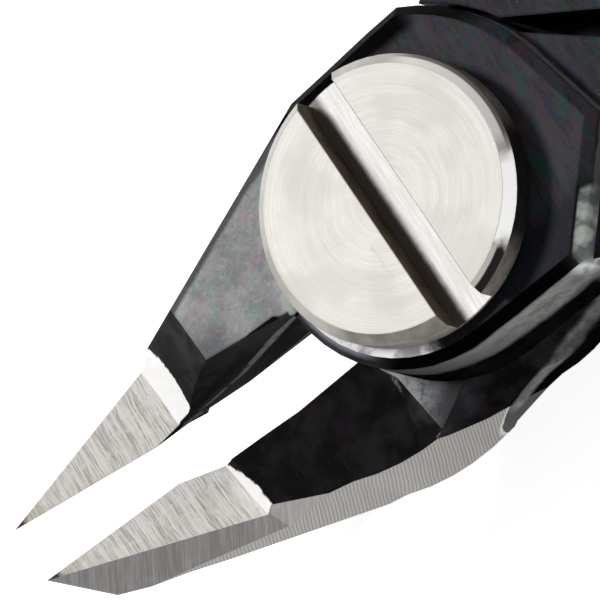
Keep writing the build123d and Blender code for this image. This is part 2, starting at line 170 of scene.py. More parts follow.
class Shader:
    """A material; place, x, y and z are millimetres, in a half's closed frame if one is given."""

    def __init__(self, name, half=None):
        self.material = bpy.data.materials.new(name)
        self.material.use_nodes = True
        self.tree = self.material.node_tree
        self.tree.nodes.clear()
        self.output = self.make("OutputMaterial", {})
        self.surface = self.make("BsdfPrincipled", {})
        self.tree.links.new(self.surface.outputs[0], self.output.inputs[0])
        side = SIDE.get(half, 1)
        turned = self.signal(
            "VectorRotate",
            {"Vector": self.signal("TexCoord", {}, output="Object"),
             "Angle": side * OPEN if half else 0.0},
            rotation_type="Z_AXIS")
        self.place = self.signal(
            "Mapping", {"Scale": (side * PER_METRE, PER_METRE, PER_METRE), "Vector": turned},
            vector_type="POINT")
        split = self.make("SeparateXYZ", {0: self.place})
        self.x, self.y, self.z = [Signal(self, socket) for socket in split.outputs]

    def feed(self, socket, value):
        if isinstance(value, Signal):
            self.tree.links.new(value.socket, socket)
        elif isinstance(value, tuple) and len(value) == 3 and socket.type == "RGBA":
            socket.default_value = value + (1.0,)
        else:
            socket.default_value = value

    def make(self, kind, inputs, **settings):
        node = self.tree.nodes.new("ShaderNode" + kind)
        for name, value in settings.items():
            setattr(node, name, value)
        for key, value in inputs.items():
            self.feed(node.inputs[key], value)
        return node

    def signal(self, kind, inputs, output=0, **settings):
        return Signal(self, self.make(kind, inputs, **settings).outputs[output])

    def math(self, operation, first, second=0.0, clamp=False):
        return self.signal("Math", {0: first, 1: second, 2: 0.0},
                           operation=operation, use_clamp=clamp)

    def mix(self, factor, first, second):
        return self.signal("Mix", {0: factor, 6: first, 7: second}, output=2,
                           data_type="RGBA", clamp_factor=True)

    def combine(self, x, y, z):
        return self.signal("CombineXYZ", {0: x, 1: y, 2: z})

    def noise(self, scale, detail=3.0, rough=0.55):
        return self.place.noise(scale, detail, rough)

    def wobble(self, amount, scale, detail=3.0, rough=0.55):
        """Noise about zero, to make a line or an edge ragged."""
        return (self.noise(scale, detail, rough) - 0.5) * amount

    def radius(self):
        return self.math("SQRT", self.x * self.x + self.y * self.y)

    def angle(self):
        return self.math("ARCTAN2", self.y, self.x)

    def bevel(self, radius):
        return self.signal("Bevel", {"Radius": radius * MM}, samples=6)

    def bump(self, height, strength, depth, bevel=None):
        """Normal roughened by a height, over edges rounded by the bevel radius."""
        inputs = {"Strength": strength, "Distance": depth * MM, "Height": height}
        if bevel is not None:
            inputs["Normal"] = self.bevel(bevel)
        return self.signal("Bump", inputs)

    def edge(self, radius, gain=3.0):
        """1 along sharp edges, 0 on the faces."""
        normal = self.signal("NewGeometry", {}, output="Normal")
        facing = self.signal("VectorMath", {0: self.bevel(radius), 1: normal}, output="Value",
                             operation="DOT_PRODUCT")
        return self.math("MULTIPLY", 1.0 - facing, gain, clamp=True)

    def finish(self, colour, rough, metallic=0.0, normal=None, specular=None,
               glow=None, glow_strength=0.0):
        inputs = {"Base Color": colour, "Metallic": metallic, "Roughness": rough}
        if normal is not None:
            inputs["Normal"] = normal
        if specular is not None:
            inputs["Specular IOR Level"] = specular
        if glow is not None:
            inputs["Emission Color"] = glow
            inputs["Emission Strength"] = glow_strength
        for key, value in inputs.items():
            self.feed(self.surface.inputs[key], value)
        return self.material


# ------------------------------------------------------- parts shared by materials
def grain(normal, right, down):
    """Across and along directions, on a facet, of lines that lean (right, down) in the view."""
    normal = normal.normalized()
    view_up = to_closed("rear", VIEW_UP)
    to_camera = to_closed("rear", TO_CAMERA)
    view_right = to_closed("rear", VIEW_UP.cross(TO_CAMERA))
    along = view_right * right - view_up * down
    along = (along - to_camera * (along.dot(normal) / to_camera.dot(normal))).normalized()
    return normal.cross(along), along


def black_steel(mat):
    """Colour of blackened steel, and its large mottling."""
    mottle = mat.place.warp(by=0.3, size=1.4).noise(1.0, detail=5, rough=0.6)
    col = mottle.ramp(0.38, 0.68, (0.0035, 0.0032, 0.0038), (0.0150, 0.0135, 0.0155))
    purple = mat.noise((0.7, 1.1, 0.9), rough=0.5)
    col = col.tint(purple.band(0.56, 0.70, end=0.45), (0.020, 0.010, 0.017))
    scratch = mat.place.warp(by=0.2, size=1.0).noise((1.1, 9.0, 1.1), rough=0.6)
    col = col.tint(scratch.band(0.66, 0.78, end=0.4), (0.045, 0.046, 0.050))
    speck = mat.noise(22, detail=2, rough=0.5)
    return col.tint(speck.band(0.765, 0.82, end=0.7), (0.38, 0.38, 0.38)), mottle


def black_grit(mat):
    """Fine noise of blackened steel."""
    return mat.noise(12, detail=4, rough=0.65)


def dents(mat, fine, mottle, strength, bevel):
    return mat.bump(fine * 0.25 + mottle, strength=strength, depth=0.05, bevel=bevel)


def worn_edge(mat, col, radius=0.08, amount=0.6, tone=(0.15, 0.16, 0.155)):
    patches = mat.noise(2.4, detail=4, rough=0.7).band(0.42, 0.66)
    return col.tint(mat.edge(radius) * patches * amount, tone)


def turned_noise(mat):
    """Noise of the dull grey bands on the plates, which are painted reflections."""
    return mat.place.warp(by=0.12, size=1.6).noise((2.2, 2.2, 3.0), detail=5, rough=0.66)


# Colour of the dull grey bands, which are painted reflections
def dull_grey_reflection(height):
    return height.ramp(0.38, 0.64, (0.080, 0.080, 0.078), (0.160, 0.160, 0.158))


def rear_reflection_band(mat):
    """Mask of the grey band low on the outer side of the rear half, a painted reflection."""
    middle = (2.9 - mat.y) * 0.165 + 0.80
    off = (mat.z + mat.wobble(0.25, 1.4) - middle).absolute()
    return off.band(0.36, 0.12) * mat.y.band(3.1, 2.6)


def corner_highlight_streaks(mat, dark, light):
    """Pale streaked colour of a painted highlight on the corner of the front plate."""
    streak = mat.place.warp(by=0.15, size=0.9).noise((1.7, 1.0, 0.8), rough=0.5)
    return streak.ramp(0.42, 0.60, dark, light)


def sheen_colour(mat, dark, light, strength):
    """Slate with faint purple, green and blue arcs, as a thin oxide film gives."""
    warped = mat.place.warp(by=0.5, size=2.2)
    arcs = warped.noise((0.45, 2.0, 0.8), detail=4, rough=0.60)
    fine = mat.noise(9, detail=4, rough=0.65)
    col = (arcs * 0.7 + fine * 0.3).ramp(0.38, 0.62, dark, light)
    hue = warped.noise((0.8, 3.0, 0.8))
    col = col.tint(hue.band(0.56, 0.66, end=strength), (0.078, 0.030, 0.052))
    col = col.tint(hue.band(0.46, 0.38, end=strength), (0.014, 0.064, 0.050))
    blue = warped.noise((0.7, 2.4, 0.9))
    col = col.tint(blue.band(0.57, 0.68, end=strength), (0.024, 0.030, 0.092))
    dots = mat.noise(17, detail=2, rough=0.5)
    return col.tint(dots.band(0.72, 0.78, end=0.7), (0.30, 0.29, 0.28))


# ------------------------------------------------------- materials of the two halves
def ground_face(half):
    """Ground cutting face: wavy grinding lines across the jaw, warm grey, browned tip."""
    mat = Shader(f"ground_face_{half}", half)
    wavy = mat.place.warp(by=0.09, size=1.3).warp(by=0.020, size=0.35)
    lines = wavy.noise((0.42, 9.0, 1.2), detail=4, rough=0.66)
    fine = wavy.noise((0.9, 24.0, 3.0), rough=0.66)
    blotch = mat.noise((3.2, 2.4, 2.4), detail=4, rough=0.6)
    height = lines * 0.50 + fine * 0.50
    col = height.ramp(0.38, 0.57, (0.52, 0.468, 0.405), (0.98, 0.950, 0.900))
    col = col.tint(blotch.band(0.48, 0.66, end=0.55), (0.97, 0.965, 0.95))
    dark = wavy.noise((1.1, 16.0, 2.5), rough=0.68)
    col = col.tint(dark.band(0.61, 0.72, end=0.55), (0.30, 0.24, 0.175))
    pale = wavy.noise((0.9, 13.0, 2.5), rough=0.64)
    col = col.tint(pale.band(0.60, 0.70, end=0.75), (1.0, 0.995, 0.985))
    fleck = mat.noise((7.0, 10.0, 7.0), rough=0.7)
    col = col.tint(fleck.band(0.66, 0.74, end=0.60), (0.22, 0.15, 0.08))
    # Brown patches towards the tip, nearly black at its very end
    tip = (mat.y + mat.noise(5, detail=2) * 0.5).band(15.66, 15.92)
    near_tip = mat.y.band(13.6, 15.8, end=0.45)
    col = col.tint(near_tip * blotch.band(0.40, 0.60), (0.42, 0.33, 0.22))
    col = col.tint(tip, (0.045, 0.018, 0.008))
    col = col.tint(mat.edge(0.05) * 0.35, (0.97, 0.96, 0.94))
    return mat.finish(col, metallic=0.10, rough=fine.band(0.3, 0.7, start=0.36, end=0.55),
                      normal=mat.bump(height, strength=0.40, depth=0.04, bevel=0.035))


def blackened(half):
    """Blackened steel: nearly black, satin, with fine dents and worn edges."""
    mat = Shader(f"blackened_{half}", half)
    col, mottle = black_steel(mat)
    fine = black_grit(mat)
    return mat.finish(worn_edge(mat, col), rough=fine.lerp(0.40, 0.58),
                      normal=dents(mat, fine, mottle, strength=0.30, bevel=0.09),
                      specular=mottle.band(0.4, 0.7, start=0.03, end=0.12))


def leaning_facet(half):
    """Leaning facet behind the ground face: blackened, and towards the tip unblackened steel painted
    bright as a highlight that glows.
    """
    mat = Shader(f"leaning_facet_{half}", half)
    col, mottle = black_steel(mat)
    fine = black_grit(mat)
    if half == "rear":
        # Painted highlight: a speckled grey lit patch on the rear facet
        painted_light = mat.y.band(4.58, 4.48, end=0.6) * mat.x.band(1.9, 2.4)
        speck = mat.noise(9, detail=4, rough=0.75)
        col = col.tint(painted_light, speck.ramp(0.45, 0.62, (0.07, 0.07, 0.075), (0.34, 0.35, 0.37)))
        lowest_x, lowest_y = 2.20, 9.62
    else:
        # Painted sheen: a slightly lighter reflection on the front facet, behind y 9.5
        painted_sheen = mat.y.band(9.5, 8.2) * mottle.band(0.40, 0.62)
        col = col.tint(painted_sheen * 0.8, (0.030, 0.026, 0.027))
        lowest_x, lowest_y = 1.15, 9.73
    col = worn_edge(mat, col, radius=0.10, amount=0.5, tone=(0.12, 0.12, 0.12))
    # Unblackened steel, painted bright as a highlight that also glows, begins along a ragged parabola
    across = mat.x - lowest_x
    border = across * across * 0.16 + lowest_y + mat.wobble(0.22, 3.5, rough=0.6)
    bare_and_highlight = (mat.y - border).band(-0.03, 0.04)
    streak = mat.place.warp(by=0.08, size=0.5).noise((7.0, 2.5, 2.5), rough=0.6)
    col = col.tint(bare_and_highlight, streak.ramp(0.35, 0.65, (0.93, 0.92, 0.90), (1.0, 1.0, 0.99)))
    return mat.finish(col, rough=fine.lerp(0.42, 0.60),
                      normal=dents(mat, fine, mottle, strength=0.28, bevel=0.08),
                      specular=bare_and_highlight.lerp(0.02, 0.5),
                      glow=(1, 0.99, 0.97), glow_strength=bare_and_highlight * 0.16)


def inner_side(half):
    """Inner side of a jaw: black, with one thin painted highlight running back along it."""
    mat = Shader(f"inner_side_{half}", half)
    col, mottle = black_steel(mat)
    fine = black_grit(mat)
    # A thin painted highlight, where the light would catch a crest in the side
    behind = (8.3 - mat.y).maximum(0.0)
    ridge_z = behind * 0.29 + 2.88 + mat.wobble(0.22, 1.6, detail=4, rough=0.6)
    off = (mat.z - ridge_z).absolute()
    width = mat.y.band(9.0, 5.9, start=0.13, end=0.32)
    ridge_highlight = (off / width).band(1.15, 0.45)
    ridge_highlight = ridge_highlight * mat.noise((2.0, 3.5, 2.0), detail=4, rough=0.65).band(0.26, 0.46)
    tone = mat.y.ramp(8.8, 6.2, (0.125, 0.130, 0.118), (0.33, 0.35, 0.32))
    col = col.tint(ridge_highlight * 0.9, tone)
    dim = mat.y.band(6.4, 5.6) * mat.z.band(3.3, 2.9)
    col = col.tint(dim * mottle.band(0.42, 0.60), (0.055, 0.052, 0.048))
    col = worn_edge(mat, col, radius=0.07, amount=0.4)
    return mat.finish(col, rough=fine.lerp(0.45, 0.62), specular=0.004,
                      normal=dents(mat, fine, mottle, strength=0.28, bevel=0.09))


def tang(half):
    """Upper face of a tang behind the plate: dark slate."""
    mat = Shader(f"tang_{half}", half)
    col = sheen_colour(mat, (0.017, 0.015, 0.020), (0.038, 0.036, 0.044), strength=0.45)
    col = worn_edge(mat, col, amount=0.35, tone=(0.10, 0.10, 0.10))
    fine = mat.noise((11, 9, 11), detail=4, rough=0.65)
    return mat.finish(col, rough=fine.lerp(0.45, 0.6), specular=0.10,
                      normal=mat.bump(fine, strength=0.25, depth=0.04, bevel=0.12))


def front_top():
    """Flat top of the front half: mottled grey jaw, a painted highlight in a ring by the screw with a
    painted shadow below it, slate plate.
    """
    mat = Shader("front_top", "front")
    x, y = mat.x, mat.y
    radius = mat.radius()
    mottle = mat.place.warp(by=0.25, size=1.1).noise((1.5, 1.2, 1.5), detail=6, rough=0.62)
    fine = mat.noise((11, 9, 11), detail=4, rough=0.65)
    # Jaw: grey, with light patches and dark grit
    jaw = mottle.ramp(0.34, 0.68, (0.150, 0.150, 0.153), (0.245, 0.245, 0.245))
    patch = mat.noise(5.0, detail=5, rough=0.7)
    jaw = jaw.tint(patch.band(0.50, 0.66, end=0.5), (0.31, 0.31, 0.305))
    jaw = jaw.tint(fine.band(0.56, 0.70, end=0.5), (0.13, 0.13, 0.135))
    # Purple and green, strongest towards the outer side and the tip
    hue = mat.place.warp(by=0.35, size=1.0).noise((1.5, 2.6, 1.5), detail=4, rough=0.6)
    outer = (x + y * 0.42).band(4.2, 5.6, start=0.35)
    jaw = jaw.tint(hue.band(0.55, 0.63, end=0.75) * outer, (0.36, 0.150, 0.28))
    jaw = jaw.tint(hue.band(0.45, 0.38, end=0.75) * outer, (0.080, 0.29, 0.21))
    # Painted shadow darkening the flat's inner corner towards the tip
    painted_shadow_corner = x.band(1.15, 0.35) * y.band(6.4, 7.3)
    jaw = jaw.tint(painted_shadow_corner * 0.75, (0.040, 0.042, 0.050))
    # Painted highlight: a light patch at the flat's front end
    lip_highlight = y.band(6.9, 7.6) * x.band(1.4, 2.4)
    jaw = jaw.tint(lip_highlight * 0.6, (0.48, 0.47, 0.47))
    # Painted shade: a near-black rim along the flat's outer edge
    outwards = x * 0.807 + y * 0.332 + (mottle - 0.5) * 0.10
    rim = (outwards + y.band(4.2, 3.2, end=0.08)).band(4.06, 4.19)
    jaw = jaw.tint(rim * 0.92, (0.006, 0.006, 0.007))
    plate = sheen_colour(mat, (0.026, 0.022, 0.026), (0.056, 0.050, 0.058), strength=0.75)
    on_jaw = (y + x * 0.25).band(2.0, 4.8)
    col = on_jaw.mix(plate, jaw)
    # Painted highlight in a ring around the screw, towards the jaw
    ring_highlight = radius.band(4.98, 4.78) * (y + fine * 0.6).band(1.45, 2.25)
    ring_highlight = ring_highlight * x.band(-0.3, -1.4, start=0.10)
    ring_highlight_tone = mottle.ramp(0.38, 0.60, (0.42, 0.42, 0.46), (0.98, 0.98, 1.00))
    col = col.tint(ring_highlight * 0.92, ring_highlight_tone)
    # Painted shadow of the screw head, below the ring highlight
    shadow_below_ring = y.band(1.75, 1.1) * x.band(-2.6, -3.4)
    col = col.tint(shadow_below_ring * 0.85, (0.010, 0.011, 0.017))
    # Black strip along the positive-x side of the plate, painted shade of its edge; it also takes
    # away the plate's specular
    strip = x.band(4.05, 4.45) * y.band(3.0, 2.2)
    strip = strip * y.band(-3.6, -2.6)
    col = col.tint(strip * 0.95, (0.0022, 0.0022, 0.0026))
    # Lighter edges on the jaw: wear, and a painted highlight along the flat's border
    col = col.tint(mat.edge(0.10) * on_jaw * 0.55, (0.36, 0.37, 0.37))
    # Part of the painted ring highlight also glows
    glow = ring_highlight * x.band(-2.9, -3.5) * mottle.band(0.40, 0.60, start=0.10, end=0.26)
    return mat.finish(
        col, metallic=on_jaw * 0.15, rough=fine.lerp(0.40, 0.58),
        normal=mat.bump(mottle + fine * 0.35, strength=0.35, depth=0.05, bevel=0.10),
        specular=on_jaw.lerp(0.07, 0.35) * (1.0 - strip),
        glow=(0.95, 0.97, 1.0), glow_strength=glow)


def plate_wall(half):
    """Turned side wall of a lap plate: a dull grey band, a painted reflection, on black darkened as
    painted shade.
    """
    mat = Shader(f"plate_wall_{half}", half)
    x, y = mat.x, mat.y
    height = turned_noise(mat)
    fine = mat.noise((10, 10, 12), rough=0.6)
    # Black steel darkened further: painted shade on the wall
    col = black_steel(mat)[0].tint(0.75, (0.0010, 0.0010, 0.0011))
    if half == "front":
        # The grey band, a painted reflection, lies above a foot that rises towards the jaw
        above = mat.z - 3.0 + mat.wobble(0.35, 1.1)
        foot = y.band(-1.0, 1.5, start=1.10, end=1.45)
        reflection_band = (above - foot).band(-0.10, 0.35) * above.band(2.76, 2.50)
        grey = height.ramp(0.38, 0.64, (0.085, 0.085, 0.080), (0.170, 0.170, 0.165))
        grey = grey.tint(y.band(-1.6, 1.7), (0.045, 0.045, 0.043))
        # Painted highlight along the top of the wall
        rim = above.band(1.9, 2.45) * y.band(2.4, -1.0)
        grey = grey.tint(rim * 0.45, (0.26, 0.26, 0.25))
        # Painted highlight on the plate's corner, pale and streaked, darker towards its foot
        corner = x.band(-3.0, -3.3) * y.band(-3.05, -3.55)
        pale = corner_highlight_streaks(mat, (0.19, 0.205, 0.20), (0.62, 0.64, 0.60))
        pale = pale.tint(above.band(1.9, 1.3), (0.10, 0.105, 0.105))
        col = col.tint(reflection_band, grey).tint(corner, pale)
    else:
        reflection_band = rear_reflection_band(mat)
        col = col.tint(reflection_band, dull_grey_reflection(height))
    col = worn_edge(mat, col, radius=0.07, amount=0.3)
    return mat.finish(col, rough=fine.lerp(0.45, 0.60), specular=reflection_band.lerp(0.0, 0.10),
                      normal=mat.bump(height + fine * 0.3, strength=0.32, depth=0.04, bevel=0.12))


def shelf():
    """Outer shelf of the rear half: black with a dull grey band, a painted reflection, and a paler
    top, painted light.
    """
    mat = Shader("shelf_rear", "rear")
    col, mottle = black_steel(mat)
    fine = black_grit(mat)
    height = turned_noise(mat)
    col = col.tint(rear_reflection_band(mat), dull_grey_reflection(height))
    # Painted light: the shelf's top made paler
    top = mat.z.band(1.9, 2.9) * mat.y.band(2.2, 3.4)
    pale = mottle.ramp(0.38, 0.64, (0.022, 0.022, 0.025), (0.050, 0.051, 0.056))
    col = col.tint(top * 0.9, pale)
    return mat.finish(col, rough=fine.lerp(0.45, 0.60), specular=0.004,
                      normal=mat.bump(height + fine * 0.3, strength=0.3, depth=0.04, bevel=0.15))


def lap_face():
    """Lap face of the rear jaw: speckled blue-grey, fading to black as painted shade, with a painted
    shadow by the front plate.
    """
    mat = Shader("lap_face_rear", "rear")
    x, y = mat.x, mat.y
    mottle = mat.noise(2.2, detail=6, rough=0.66)
    fine = mat.noise(13, detail=4, rough=0.7)
    col = mottle.ramp(0.36, 0.62, (0.085, 0.088, 0.095), (0.30, 0.31, 0.33))
    col = col.tint(fine.band(0.55, 0.66, end=0.6), (0.52, 0.53, 0.55))
    # Painted shade: darker towards the outer side and the back, as the reflection falls off
    fade = (x - 2.9 + (4.4 - y) * 0.8).band(0.3, 2.0)
    near_tip = y.band(3.9, 4.45) * mottle.band(0.34, 0.56)
    col = col.tint(near_tip * 0.7, (0.44, 0.45, 0.47))
    col = col.tint(fade, (0.034, 0.034, 0.038))
    # Painted shadow along the edge of the front plate
    col = col.tint((y + fine * 0.3).band(2.9, 2.2), (0.008, 0.008, 0.009))
    return mat.finish(col, rough=fine.lerp(0.40, 0.58), specular=0.15,
                      normal=mat.bump(mottle + fine, strength=0.5, depth=0.04, bevel=0.08))


def flank_front(half, flare=False):
    """Facet of the tapered flank towards the tip, or its flare, painted paler as a lit copy: fine
    grinding lines.
    """
    mat = Shader(f"flank_flare_{half}" if flare else f"flank_front_{half}", half)
    across, along = grain(FLANK_FRONT, right=0.05, down=1.0)
    lines = mat.combine(mat.place.dot(across), mat.place.dot(along) * 0.10, 0.0)
    lines = lines.warp(by=0.03, size=0.7)
    coarse = lines.noise((8.0, 2.5, 1.0), rough=0.6)
    fine = lines.noise((24.0, 5.0, 1.0), rough=0.6)
    height = coarse * 0.45 + fine * 0.55
    col = height.ramp(0.40, 0.62, (0.185, 0.176, 0.170), (0.300, 0.290, 0.283))
    blot = mat.noise(1.2, rough=0.6)
    col = col.tint(blot.band(0.55, 0.72, end=0.30), (0.35, 0.335, 0.32))
    col = col.tint(mat.y.band(11.2, 9.6, end=0.65),
                   height.ramp(0.40, 0.62, (0.26, 0.245, 0.23), (0.42, 0.40, 0.375)))
    # The flare is painted paler, as a lit copy of the flank
    if flare:
        col = col.tint(0.75, height.ramp(0.40, 0.62, (0.30, 0.285, 0.27), (0.46, 0.44, 0.42)))
    else:
        col = col.tint(mat.edge(0.05, gain=4.0) * 0.45, (0.42, 0.41, 0.40))
    return mat.finish(col, metallic=0.35, rough=0.48,
                      normal=mat.bump(height, strength=0.30, depth=0.03, bevel=0.04))


def flank_back(half):
    """Upright facet: regular milled lines and a bright edge; on the rear half a ragged end."""
    mat = Shader(f"flank_back_{half}", half)
    across, along = grain(FLANK_BACK, right=0.30, down=0.95)
    position = mat.place.dot(across)

    def streaks(scale):
        return mat.combine(position, mat.place.dot(along) * 0.1, 0.0).noise(scale, rough=0.6)

    drift = mat.noise(0.7, detail=2) * 0.09
    wave = mat.math("SINE", (position + drift) * 58.0) * 0.5 + 0.5
    height = wave * 0.40 + streaks((22.0, 3.0, 1.0)) * 0.45 + streaks((3.0, 1.5, 1.0)) * 0.30
    col = height.ramp(0.38, 0.78, (0.215, 0.202, 0.185), (0.360, 0.342, 0.318))
    col = col.tint(mat.edge(0.05, gain=4.0) * 0.6, (0.72, 0.71, 0.67))
    if half == "rear":
        black = black_steel(mat)[0].tint(rear_reflection_band(mat), dull_grey_reflection(turned_noise(mat)))
        # The lines end on a ragged curve with a bright rim
        above = (mat.z - 0.1).maximum(0.0)
        end = 3.68 - above * above * 0.85
        off = mat.y - (end + mat.wobble(0.22, 2.6))
        rim = off.band(0.20, 0.06) * off.band(-0.02, 0.03)
        col = col.tint(rim * 0.7, (0.70, 0.69, 0.65))
        col = col.tint(off.band(0.02, -0.03), black)
    return mat.finish(col, metallic=0.10, rough=0.46, specular=0.3,
                      normal=mat.bump(height, strength=0.30, depth=0.03, bevel=0.04))


def plate_bevel(half):
    """Bevel round the lap plates: black; on the front plate a painted highlight, a pale painted
    highlight on one corner and painted shade along its sides.
    """
    mat = Shader(f"plate_bevel_{half}", half)
    x, y, z = mat.x, mat.y, mat.z
    wear = mat.noise(1.1, detail=4, rough=0.65)
    fine = black_grit(mat)
    col = wear.ramp(0.40, 0.64, (0.0035, 0.0035, 0.004), (0.024, 0.025, 0.028))
    specular = 0.10
    if half == "front":
        # Painted highlight on the bevel below the ring
        painted_light = y.band(0.9, 1.8) * (x.band(1.0, -0.5) * x.band(-3.5, -2.6))
        painted_light = painted_light * z.band(5.80, 5.98)
        col = col.tint(painted_light * 0.7, (0.30, 0.31, 0.36))
        # Painted highlight on one corner, pale and streaked
        corner = x.band(-3.0, -3.3) * y.band(-3.55, -3.85)
        pale = corner_highlight_streaks(mat, (0.20, 0.215, 0.21), (0.66, 0.68, 0.64))
        below_rim = z.band(5.97, 5.90)
        col = col.tint(corner * below_rim, pale)
        slate = sheen_colour(mat, (0.020, 0.018, 0.022), (0.046, 0.043, 0.052), strength=0.5)
        back = (y + x * -0.35).band(-3.6, -4.4) * x.band(3.6, 2.4)
        col = col.tint(back, slate)
        # Painted shade on both sides of the bevel, without specular
        shaded_left_side = x.band(-3.0, -3.8) * y.band(-3.6, -3.1)
        shaded_sides = (x.band(2.8, 3.8) * 0.85).maximum(shaded_left_side)
        col = col.tint(shaded_sides, (0.0016, 0.0016, 0.0018))
        col = col.tint(corner * below_rim, pale)
        specular = shaded_sides.lerp(0.10, 0.0)
    return mat.finish(col, rough=fine.lerp(0.38, 0.52), specular=specular,
                      normal=mat.bump(fine, strength=0.25, depth=0.03, bevel=0.14))


# ------------------------------------------------------------ materials of the screw
def screw_face():
    """Faced end of the screw head: fine rings from the lathe, a few pits."""
    mat = Shader("screw_face")
    polar = mat.combine(mat.radius(), mat.angle() * 0.45, 0.0)
    rings = polar.noise((5.0, 1.0, 1.0), detail=4, rough=0.62)
    fine = polar.noise((34.0, 3.5, 1.0), rough=0.6)
    grit = mat.noise(24, rough=0.6)
    height = rings * 0.35 + fine * 0.45 + grit * 0.25
    col = height.ramp(0.40, 0.66, (0.470, 0.448, 0.412), (0.590, 0.570, 0.535))
    blot = mat.noise(0.55, rough=0.5)
    col = col.tint(blot.band(0.45, 0.7, end=0.30), (0.68, 0.668, 0.640))
    dull = mat.noise(0.42, detail=2, rough=0.5)
    col = col.tint(dull.band(0.47, 0.62, end=0.45), (0.400, 0.380, 0.345))
    pit = mat.noise(13, rough=0.7)
    col = col.tint(pit.band(0.70, 0.76, end=0.60), (0.20, 0.17, 0.13))
    scuff = mat.place.warp(by=0.25, size=1.2).noise((0.7, 7.0, 1.0), rough=0.5)
    col = col.tint(scuff.band(0.68, 0.74, end=0.30), (0.36, 0.33, 0.29))
    col = col.tint(mat.edge(0.05) * 0.5, (0.80, 0.79, 0.76))
    return mat.finish(col, metallic=0.15, rough=0.42,
                      normal=mat.bump(height, strength=0.22, depth=0.02, bevel=0.06))


def screw_side():
    """Turned side of the screw head: tan, with a painted shadow nearly black on one side and painted
    shade at the foot.
    """
    mat = Shader("screw_side")
    angle = mat.angle()
    turning = mat.noise((0.8, 0.8, 14), rough=0.6)
    blot = mat.noise((1.2, 1.2, 1.6), detail=4, rough=0.6)
    col = blot.ramp(0.35, 0.7, (0.125, 0.110, 0.090), (0.235, 0.215, 0.190))
    # Painted shadow on one side of the head
    col = col.tint(angle.between(-2.55, -1.70, soft=0.10) * 0.93, (0.006, 0.005, 0.005))
    # Painted shade at the foot, where the head meets the plate
    low = (mat.z + blot * 0.4).band(6.55, 6.25)
    col = col.tint(low * 0.75, (0.020, 0.018, 0.016))
    return mat.finish(col, metallic=0.2, rough=0.42, specular=0.15,
                      normal=mat.bump(turning, strength=0.35, depth=0.03, bevel=0.07))


def screw_bevel():
    """Bevel of the head: tan, darker in one sector, with a painted highlight that glows, a painted
    dark reflection, and a faintly glowing light band.
    """
    mat = Shader("screw_bevel")
    radius = mat.radius()
    angle = mat.angle() + mat.wobble(0.18, 1.6)
    blot = mat.noise(1.2, detail=4, rough=0.6)
    col = blot.ramp(0.35, 0.7, (0.50, 0.475, 0.43), (0.60, 0.575, 0.53))
    col = col.tint(angle.between(2.10, 3.10, soft=0.15),
                   blot.ramp(0.35, 0.7, (0.22, 0.205, 0.18), (0.36, 0.34, 0.305)))
    # In this sector the inner band is a painted highlight, glowing faintly; the outer band is dark
    dull = angle.between(-1.86, -0.75, soft=0.12)
    rim = radius.band(4.14, 4.19)
    col = col.tint(dull, rim.mix((0.84, 0.815, 0.77), (0.16, 0.14, 0.12)))
    # Painted highlight that glows, on one sector
    highlight_sector = angle.between(-2.56, -1.96)
    col = col.tint(highlight_sector, (1.0, 1.0, 0.99))
    # Painted dark reflection: a near-black line on the outer part of one sector
    dark_reflection_sector = angle.between(-3.10, -2.60, soft=0.03)
    line = (radius + blot * 0.05).band(4.08, 4.12)
    col = col.tint(dark_reflection_sector, line.mix((0.80, 0.77, 0.71), (0.012, 0.007, 0.007)))
    return mat.finish(col, rough=0.38, specular=0.35,
                      normal=mat.bump(blot, strength=0.12, depth=0.03, bevel=0.06),
                      glow=(1, 0.985, 0.955),
                      glow_strength=highlight_sector * 0.35 + dull * (1.0 - rim) * 0.07)


def slot_wall():
    """Sawn wall of the slot, stained."""
    mat = Shader("slot_wall")
    sawing = mat.place.warp(by=0.05, size=0.6).noise((0.9, 1.0, 11.0), detail=4, rough=0.6)
    blot = mat.noise((1.3, 1.3, 2.2), detail=4, rough=0.6)
    col = blot.ramp(0.34, 0.60, (0.078, 0.050, 0.028), (0.132, 0.094, 0.056))
    col = col.tint(sawing.band(0.56, 0.72, end=0.5), (0.26, 0.22, 0.16))
    return mat.finish(col, metallic=0.45, rough=0.50,
                      normal=mat.bump(sawing, strength=0.5, depth=0.04, bevel=0.04))


def slot_floor():
    """Floor of the slot: bright, with sawing lines, and a painted shadow along the positive-y wall.
    """
    mat = Shader("slot_floor")
    sawing = mat.place.warp(by=0.05, size=0.7).noise((0.7, 9.0, 1.0), detail=4, rough=0.6)
    col = sawing.ramp(0.35, 0.7, (0.66, 0.64, 0.60), (0.82, 0.81, 0.785))
    # Painted shadow cast by the positive-y wall
    wall_shadow = mat.y + mat.wobble(0.16, 2.2, detail=4, rough=0.65)
    col = col.tint(wall_shadow.band(0.12, 0.40, end=0.95), (0.055, 0.045, 0.030))
    pit = mat.noise((10, 14, 10), rough=0.7)
    col = col.tint(pit.band(0.70, 0.76, end=0.5), (0.30, 0.27, 0.22))
    return mat.finish(col, metallic=0.10, rough=0.42,
                      normal=mat.bump(sawing, strength=0.30, depth=0.03, bevel=0.05))


# --------------------------------------------- materials of small parts and handles
def plain_steel(name, dark, light, rough=(0.3, 0.45), streak=(1, 1, 1)):
    """Bright or dull steel with fine streaks and worn edges."""
    mat = Shader(name)
    big = mat.noise(0.9, detail=4, rough=0.6)
    fine = mat.noise(tuple(6.0 * k for k in streak), detail=4, rough=0.6)
    col = (big * 0.6 + fine * 0.5).ramp(0.38, 0.72, dark, light)
    edge_tone = tuple(min(1.0, v * 1.5 + 0.05) for v in light)
    col = col.tint(mat.edge(0.06) * 0.4, edge_tone)
    return mat.finish(col, metallic=0.9, rough=fine.lerp(*rough),
                      normal=mat.bump(fine, strength=0.3, depth=0.03, bevel=0.05))


